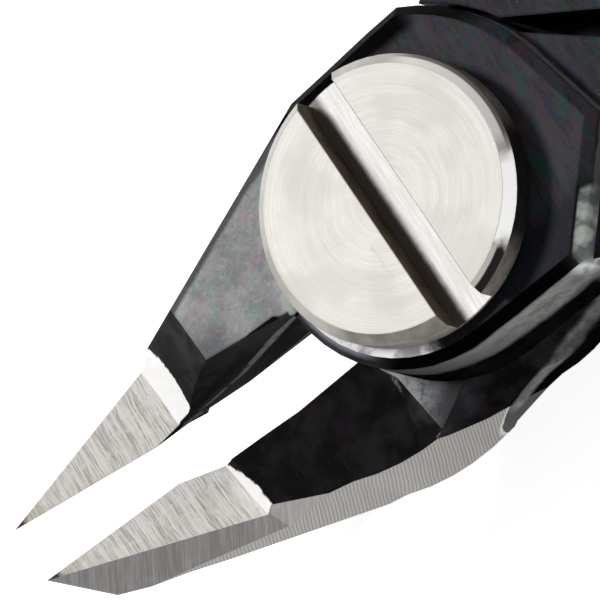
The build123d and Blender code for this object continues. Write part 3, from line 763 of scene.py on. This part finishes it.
def core_plastic():
    """Hard moulded sleeve, fine eroded texture."""
    mat = Shader("core_plastic")
    fine = mat.noise(9, detail=4, rough=0.7)
    big = mat.noise(0.5, rough=0.5)
    col = big.ramp(0.35, 0.7, (0.016, 0.016, 0.018), (0.028, 0.028, 0.031))
    col = col.tint(mat.edge(0.25) * 0.35, (0.07, 0.07, 0.075))
    return mat.finish(col, rough=fine.lerp(0.42, 0.60), specular=0.5,
                      normal=mat.bump(fine, strength=0.5, depth=0.05, bevel=0.15))


def cover_rubber():
    """Soft blue grip: matt, with a fine moulded skin and uneven shine."""
    mat = Shader("cover_rubber")
    fine = mat.noise(6, detail=5, rough=0.72)
    cells = mat.signal("TexVoronoi", {"Scale": 3.2, "Vector": mat.place})
    big = mat.noise((0.10, 0.06, 0.10), detail=4, rough=0.6)
    col = big.ramp(0.38, 0.68, (0.020, 0.055, 0.165), (0.030, 0.085, 0.240))
    col = col.tint(fine.band(0.60, 0.78, end=0.30), (0.075, 0.14, 0.30))
    col = col.tint(mat.edge(0.5, gain=2.5) * 0.30, (0.10, 0.18, 0.36))
    return mat.finish(col, rough=big.band(0.35, 0.7, start=0.46, end=0.66), specular=0.45,
                      normal=mat.bump(fine * 0.6 + cells * 0.5, strength=0.45, depth=0.07))


def spring_steel():
    """Blued strip with brownish patches and bright edges."""
    mat = Shader("spring_steel")
    rolling = mat.noise((1.0, 1.0, 9.0), detail=4, rough=0.6)
    big = mat.noise((0.35, 0.35, 0.6), detail=4, rough=0.6)
    col = big.ramp(0.35, 0.7, (0.060, 0.075, 0.120), (0.16, 0.17, 0.20))
    col = col.tint(big.band(0.62, 0.74, end=0.6), (0.22, 0.17, 0.12))
    col = col.tint(mat.edge(0.06) * 0.5, (0.55, 0.55, 0.56))
    return mat.finish(col, metallic=0.95, rough=rolling.lerp(0.24, 0.40),
                      normal=mat.bump(rolling, strength=0.35, depth=0.03))


# ---------------------------------------------------------- painting the CAD pieces
def paint(node, rules, default):
    """Gives each face of a CAD piece the first material whose rule fits, else the default.

    A rule takes the centre of a face in millimetres and its normal.
    """
    mesh = NODES[node].data
    mesh.materials.clear()
    for material in [default] + [material for material, _ in rules]:
        mesh.materials.append(material)
    for face in mesh.polygons:
        face.material_index = 0
        for i, (_, fits) in enumerate(rules, start=1):
            if fits(face.center / MM, face.normal):
                face.material_index = i
                break


def half_rules(half):
    """Face rules of one half, on places and normals in its closed frame."""
    lean = LEANING[half]
    flank = FLANK_FRONT.normalized()

    def outside_boss(c):
        return c.x ** 2 + c.y ** 2 > 20.0

    rules = [
        (ground_face(half), lambda c, n: c.y > 10.05 and n.dot(GROUND_NORMAL) > 0.985),
        (leaning_facet(half), lambda c, n: (c.y > 4.6 and n.dot(lean) > 0.99 and n.z < 0.9995)
         or (9.6 < c.y < 10.8 and n.y > 0.35 and n.z > 0.4)),
        (flank_front(half), lambda c, n: c.y > 7.5 and n.dot(flank) > 0.995),
        (flank_front(half, flare=True),
         lambda c, n: c.y > 7.5 and any(n.dot(flare) > 0.995 for flare in FLARES)),
        (flank_back(half), lambda c, n: c.y > 2.2 and c.x > 0.2 and abs(n.z) < 0.05
         and n.x > 0.6 and (half == "rear" or c.y > 6.0)),
        (inner_side(half),
         lambda c, n: c.y > 4.7 and n.x < -0.7 and n.z < 0.6 and abs(c.x) < 2.6),
        (tang(half), lambda c, n: c.y < -3.0 and n.z > 0.95 and 4.9 < c.z < 5.3),
    ]
    if half == "front":
        rules += [
            (front_top(), lambda c, n: c.z > 5.98 and n.z > 0.98),
            (plate_wall(half),
             lambda c, n: abs(n.z) < 0.1 and c.z > 3.0 and outside_boss(c) and c.y < 7.0),
            (plate_bevel(half), lambda c, n: 5.6 < c.z < 6.0 and 0.3 < n.z < 0.95 and c.y < 6.0),
        ]
    else:
        rules += [
            (lap_face(), lambda c, n: c.z > 2.98 and n.z > 0.9995 and c.y < 6.5 and c.x > 0),
            (shelf(),
             lambda c, n: c.x > 3.0 and -6.0 < c.y < 6.2 and n.x > 0.8 and 0.25 < n.z < 0.5),
            (plate_wall(half),
             lambda c, n: abs(n.z) < 0.1 and c.z < 3.2 and outside_boss(c) and c.y < 7.0),
            (plate_bevel(half), lambda c, n: c.z < 0.4 and -0.95 < n.z < -0.3 and c.y < 6.0),
        ]

    def in_frame(fits):
        return lambda c, n: fits(to_closed(half, c), to_closed(half, n))

    return [(material, in_frame(fits)) for material, fits in rules]


for half in SIDE:
    paint(f"{half}_half", half_rules(half), blackened(half))

paint("pivot_screw", [
    (screw_face(), lambda c, n: c.z > 7.25 and n.z > 0.98),
    (screw_bevel(), lambda c, n: c.z > 6.9 and 0.3 < n.z < 0.98),
    (slot_floor(), lambda c, n: n.z > 0.98 and 6.2 < c.z < 6.5),
    (slot_wall(), lambda c, n: abs(n.y) > 0.98 and abs(c.y) < 0.75 and c.z > 6.3),
    (screw_side(), lambda c, n: c.z > 6.2),
], plain_steel("screw_shank", (0.30, 0.29, 0.27), (0.62, 0.60, 0.56), streak=(1, 1, 6)))
paint("pivot_washer", [], plain_steel("washer_steel", (0.035, 0.033, 0.026),
                                      (0.11, 0.105, 0.085), rough=(0.35, 0.5)))
rivet_steel = plain_steel("rivet_steel", (0.34, 0.34, 0.34), (0.62, 0.62, 0.61),
                          rough=(0.25, 0.42))
for half in SIDE:
    paint(f"{half}_spring_rivet", [], rivet_steel)
    paint(f"{half}_grip_core", [], core_plastic())


# ------------------------------------------------------------------- mesh helpers
SPLINE_STEPS = 14


def spline(points, before=None):
    """Catmull-Rom curve through the points; `before` steers its start."""
    curve = []
    last = len(points) - 1
    for i in range(last):
        previous = before if i == 0 and before else points[max(i - 1, 0)]
        knots = (previous, points[i], points[i + 1], points[min(i + 2, last)])
        for k in range(SPLINE_STEPS):
            u = k / SPLINE_STEPS
            curve.append([
                0.5 * (2 * b + (c - a) * u + (2 * a - 5 * b + 4 * c - d) * u * u
                       + (3 * b - a - 3 * c + d) * u ** 3)
                for a, b, c, d in zip(*knots)])
    curve.append(list(points[-1]))
    return curve


def heading(path, i):
    """Unit direction of a path at a point, from its neighbours."""
    start, end = path[max(i - 1, 0)], path[min(i + 1, len(path) - 1)]
    dx, dy = end[0] - start[0], end[1] - start[1]
    length = math.hypot(dx, dy)
    return dx / length, dy / length


def bridge(bm, loops):
    """Quads between each loop of vertices and the next."""
    count = len(loops[0])
    for near, far in zip(loops, loops[1:]):
        for k in range(count):
            after = (k + 1) % count
            bm.faces.new((near[k], near[after], far[after], far[k]))


def mesh_object(name, bm, material, smooth=True):
    mesh = bpy.data.meshes.new(name)
    bmesh.ops.recalc_face_normals(bm, faces=bm.faces)
    bm.to_mesh(mesh)
    bm.free()
    for face in mesh.polygons:
        face.use_smooth = smooth
    obj = bpy.data.objects.new(name, mesh)
    bpy.context.scene.collection.objects.link(obj)
    mesh.materials.append(material)
    return obj


# ------------------------------------------------------------------------- grips
# Stations of the cover, front to tail: centre x, y (closed frame), half width, half height
COVER = [
    (-12.10, -26.4, 5.0, 5.9), (-12.55, -28.6, 5.7, 6.7), (-13.30, -34.0, 6.0, 7.0),
    (-13.95, -43.0, 5.5, 6.7), (-14.20, -54.0, 5.6, 6.8), (-13.85, -67.0, 5.8, 7.0),
    (-12.90, -81.0, 5.5, 6.8), (-11.70, -94.0, 5.1, 6.6), (-10.80, -104.0, 4.8, 6.2),
    (-10.55, -108.0, 4.1, 5.4), (-10.50, -110.4, 2.6, 3.6), (-10.50, -111.2, 1.0, 1.4),
]
# Rolled front lip: growth of the half sizes, forward shift
LIP = [(-0.35, 0.30), (-0.85, 0.30), (-1.05, -0.10), (-1.05, -1.5)]
COVER_SEGMENTS = 72
GRIP_Z = 3.0                       # height of the grip's middle
UNDERSIDE_Z = -3.6                 # flat underside
SQUARE_POWER, SQUARE_SHARE = 2.5, 0.75   # squareness of the section
SECTION_SCALE = 0.985
RIB_START, RIB_END = -40, -98      # y range of the ribs
RIB_PITCH, RIB_FADE = 3.6, 4
RIB_POWER = 0.6                    # below 1 flattens the rib tops
GROOVE_DEPTH = 0.42                # between the ribs
GROOVE_HEIGHT, GROOVE_GAIN = 0.80, 2.2   # share of the height grooved, steepness of its ends
GROOVE_SIDE, SIDE_GAIN = 0.2, 3    # where the grooves start outwards, and how quickly


def groove(y, across, upward):
    """Depth cut between the ribs, on the outer side only."""
    if not RIB_START > y > RIB_END or across >= -GROOVE_SIDE:
        return 0.0
    wave = math.sin((y - RIB_START) * 2 * math.pi / RIB_PITCH)
    rib = max(0.0, wave) ** RIB_POWER
    fade = min(1.0, (RIB_START - y) / RIB_FADE, (y - RIB_END) / RIB_FADE)
    middle = min(1.0, max(0.0, (1 - abs(upward) / GROOVE_HEIGHT) * GROOVE_GAIN))
    outer = min(1.0, (-across - GROOVE_SIDE) * SIDE_GAIN)
    return GROOVE_DEPTH * (1 - rib) * fade * middle * outer


def cover_loop(bm, half, station, direction, grow=0.0, shift=0.0):
    """One section of the cover, grown and shifted forwards along the grip."""
    x, y, half_width, half_height = station
    along_x, along_y = direction
    loop = []
    for k in range(COVER_SEGMENTS):
        turn = 2 * math.pi * k / COVER_SEGMENTS
        across, upward = math.cos(turn), math.sin(turn)
        square = (abs(across) ** SQUARE_POWER + abs(upward) ** SQUARE_POWER) ** (-1 / SQUARE_POWER)
        square = 1 + (square - 1) * SQUARE_SHARE
        side = (half_width + grow) * across * square * SECTION_SCALE + groove(y, across, upward)
        rise = (half_height + grow) * upward * square * SECTION_SCALE
        rest_x, rest_y = turn_open(x - side * along_y - along_x * shift,
                                   y + side * along_x - along_y * shift)
        z = max(GRIP_Z + rise, UNDERSIDE_Z)
        loop.append(bm.verts.new(placed(half, rest_x, rest_y, z)))
    return loop


def grip_cover(half, material):
    """Soft cover: squarish round with a flat underside, outer ribs and a rolled front lip."""
    stations = spline(COVER)
    bm = bmesh.new()
    loops = [cover_loop(bm, half, station, heading(stations, i))
             for i, station in enumerate(stations)]
    bridge(bm, loops)
    bm.faces.new(loops[-1])
    previous = loops[0]
    for grow, shift in LIP:
        loop = cover_loop(bm, half, COVER[0], heading(stations, 0), grow, shift)
        for k in range(COVER_SEGMENTS):
            after = (k + 1) % COVER_SEGMENTS
            bm.faces.new((previous[k], loop[k], loop[after], previous[after]))
        previous = loop
    return mesh_object(f"{half}_soft_grip", bm, material)


rubber = cover_rubber()
for half in SIDE:
    cover = grip_cover(half, rubber)
    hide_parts(f"{half}_grip_cover")
    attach(cover, f"{half}_body")


# ------------------------------------------------------------------- leaf springs
# Seat on the tang, in the closed frame: a point, its direction and its normal
SEAT, SEAT_ALONG, SEAT_NORMAL = (-4.656, -14.938), (-0.485, -0.8745), (0.8745, -0.485)
SEAT_ENDS = (-2.9, 3.6)            # reach of the strip along the seat
SEAT_LIFT = 0.25                   # strip's middle above the seat
SEAT_STEPS = 10
# Bow of the strip beyond the seat, at rest: x, y
BOW = [(-7.95, -20.4), (-7.35, -24.6), (-4.95, -29.0), (-2.25, -32.4), (-0.62, -35.4),
       (-0.45, -37.2), (-1.0, -39.2)]
STRIP_HALF = 0.245                 # half the thickness
STRIP_LOW, STRIP_HIGH = 1.5, 4.5   # z of the two edges
STRIP_CUT = 0.10                   # cut corners of the section


def strip_path():
    """Middle line of the strip at rest: straight on its seat, then bowed."""
    start, end = [
        turn_open(*(SEAT[k] + reach * SEAT_ALONG[k] + SEAT_LIFT * SEAT_NORMAL[k] for k in (0, 1)))
        for reach in SEAT_ENDS]
    straight = [[start[k] + (end[k] - start[k]) * j / SEAT_STEPS for k in (0, 1)]
                for j in range(SEAT_STEPS)]
    first = BOW[0]
    before = (2 * end[0] - first[0] - 0.25 * (first[0] - end[0]), 2 * end[1] - first[1])
    return straight + spline([end] + BOW, before)


def leaf_spring(half, material):
    """Bowed spring strip with cut edges and a turned-out end."""
    wide, narrow = STRIP_HALF, STRIP_HALF - STRIP_CUT
    low, high, cut = STRIP_LOW, STRIP_HIGH, STRIP_CUT
    section = [(-wide, low + cut), (-narrow, low), (narrow, low), (wide, low + cut),
               (wide, high - cut), (narrow, high), (-narrow, high), (-wide, high - cut)]
    path = strip_path()
    bm = bmesh.new()
    loops = []
    for i, (x, y) in enumerate(path):
        along_x, along_y = heading(path, i)
        loops.append([bm.verts.new(placed(half, x - along_y * off, y + along_x * off, z))
                      for off, z in section])
    bridge(bm, loops)
    bm.faces.new(loops[0])
    bm.faces.new(loops[-1])
    return mesh_object(f"{half}_spring_strip", bm, material)


strip_steel = spring_steel()
for half, other in (("front", "rear"), ("rear", "front")):
    strip = leaf_spring(half, strip_steel)
    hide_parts(f"{half}_leaf_spring")
    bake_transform(strip)


# -------------------------------------------------------------------------- floor
FLOOR_HALF = 2.5                   # metres
FLOOR_Z = -3.62                    # just under the grips


def studio_floor():
    """Glowing near-white floor, clear when seen from below."""
    mat = Shader("studio_floor")
    col = mat.noise(0.02, rough=0.5).mix((0.86, 0.86, 0.86), (0.89, 0.89, 0.89))
    mat.finish(col, rough=0.75, glow=(1, 1, 1), glow_strength=0.80)
    seen = mat.signal("MixShader", {
        0: mat.signal("NewGeometry", {}, output="Backfacing"),
        1: Signal(mat, mat.surface.outputs[0]),
        2: mat.signal("BsdfTransparent", {})})
    mat.feed(mat.output.inputs[0], seen)
    return mat.material


floor_material = studio_floor()
bm = bmesh.new()
bm.faces.new([bm.verts.new((x * FLOOR_HALF, y * FLOOR_HALF, FLOOR_Z * MM))
              for x, y in ((-1, -1), (1, -1), (1, 1), (-1, 1))])
mesh_object("studio_floor", bm, floor_material, smooth=False)

# ------------------------------------------------------------------------- camera
VIEW_RIGHT = VIEW_UP.cross(TO_CAMERA).normalized()
VIEW_CENTRE = Vector((-1.02, 3.56, 8.10)) * MM
VIEW_WIDTH = 17.39
LENS, SENSOR = 1500.0, 36.0        # very long lens, for a nearly parallel view
CLOSER = 0.997                     # fine trim of the distance

camera_data = bpy.data.cameras.new("camera")
camera_data.lens = LENS
camera_data.sensor_width = SENSOR
camera_data.clip_start, camera_data.clip_end = 0.01, 10.0
camera = bpy.data.objects.new("camera", camera_data)
bpy.context.scene.collection.objects.link(camera)
pose = Matrix((VIEW_RIGHT, VIEW_UP, TO_CAMERA)).transposed().to_4x4()
pose.translation = VIEW_CENTRE + TO_CAMERA * (VIEW_WIDTH * MM * LENS / SENSOR * CLOSER)
camera.matrix_world = pose
bpy.context.scene.camera = camera

# ------------------------------------------------------------------ lights and sky
LIGHT_TARGET = Vector((0, 3, 3)) * MM


def disk_light(name, direction, distance, size, power):
    """Disk light facing the target; distance and size are in metres, power in watts."""
    light = bpy.data.lights.new(name, "AREA")
    light.shape = "DISK"
    light.size = size
    light.energy = power
    obj = bpy.data.objects.new(name, light)
    bpy.context.scene.collection.objects.link(obj)
    direction = Vector(direction).normalized()
    obj.location = LIGHT_TARGET + direction * distance
    obj.rotation_mode = "QUATERNION"
    obj.rotation_quaternion = direction.to_track_quat("Z", "Y")


# Main light from the view's left, fill from its right
KEY_RISE = math.radians(55)
left = -VIEW_RIGHT + VIEW_UP * 0.25
left = Vector((left.x, left.y, 0)).normalized()
key_direction = (left.x * math.cos(KEY_RISE), left.y * math.cos(KEY_RISE), math.sin(KEY_RISE))
disk_light("key", key_direction, distance=0.60, size=0.16, power=2.0)
right = Vector((VIEW_RIGHT.x, VIEW_RIGHT.y, 0)).normalized()
disk_light("fill", (right.x * 0.85, right.y * 0.85, 0.5), distance=0.70, size=0.45, power=0.35)

# White sky: soft light on the pliers, brighter to the camera
SKY_LIGHT, SKY_SEEN_EXTRA = 0.27, 0.70
world = bpy.data.worlds.new("studio")
bpy.context.scene.world = world
world.use_nodes = True
sky_tree = world.node_tree
background = sky_tree.nodes["Background"]
background.inputs[0].default_value = (1, 1, 1, 1)
ray = sky_tree.nodes.new("ShaderNodeLightPath")
strength = sky_tree.nodes.new("ShaderNodeMath")
strength.operation = "MULTIPLY_ADD"
sky_tree.links.new(ray.outputs["Is Camera Ray"], strength.inputs[0])
strength.inputs[1].default_value = SKY_SEEN_EXTRA
strength.inputs[2].default_value = SKY_LIGHT
sky_tree.links.new(strength.outputs[0], background.inputs[1])
bpy.context.scene.view_settings.view_transform = "Standard"
